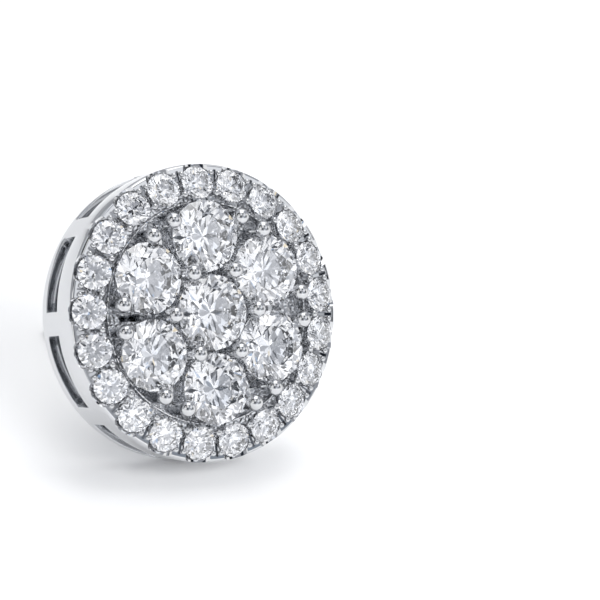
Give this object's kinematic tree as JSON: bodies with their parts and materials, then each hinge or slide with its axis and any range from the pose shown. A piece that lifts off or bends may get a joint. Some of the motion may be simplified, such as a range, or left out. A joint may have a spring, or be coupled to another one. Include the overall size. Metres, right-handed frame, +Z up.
{
  "type": "cluster earring",
  "caption": "Round stud earring: a cluster of round brilliants in ball prongs, a scalloped halo of small brilliants, a pierced gallery and a plain ear post.",
  "frame": {"origin": "centre of the footprint of the resting earring, on the surface it rests on", "axes": "+Z up, face of the cluster towards -Y and leaned back, post towards +Y and down, +X to the viewer's right"},
  "size_m": [0.0104, 0.0138, 0.0102],
  "materials": {
    "white_gold": "mirror polished",
    "diamond": "faceted and polished"
  },
  "bodies": {
    "root": {"setting": "white_gold", "post": "white_gold", "center_stone": "diamond", "cluster_stone_1": "diamond", "cluster_stone_2": "diamond", "cluster_stone_3": "diamond", "cluster_stone_4": "diamond", "cluster_stone_5": "diamond", "cluster_stone_6": "diamond", "halo_stone_01": "diamond", "halo_stone_02": "diamond", "halo_stone_03": "diamond", "halo_stone_04": "diamond", "halo_stone_05": "diamond", "halo_stone_06": "diamond", "halo_stone_07": "diamond", "halo_stone_08": "diamond", "halo_stone_09": "diamond", "halo_stone_10": "diamond", "halo_stone_11": "diamond", "halo_stone_12": "diamond", "halo_stone_13": "diamond", "halo_stone_14": "diamond", "halo_stone_15": "diamond", "halo_stone_16": "diamond", "halo_stone_17": "diamond", "halo_stone_18": "diamond", "halo_stone_19": "diamond", "halo_stone_20": "diamond", "halo_stone_21": "diamond"}
  },
  "joints": []
}
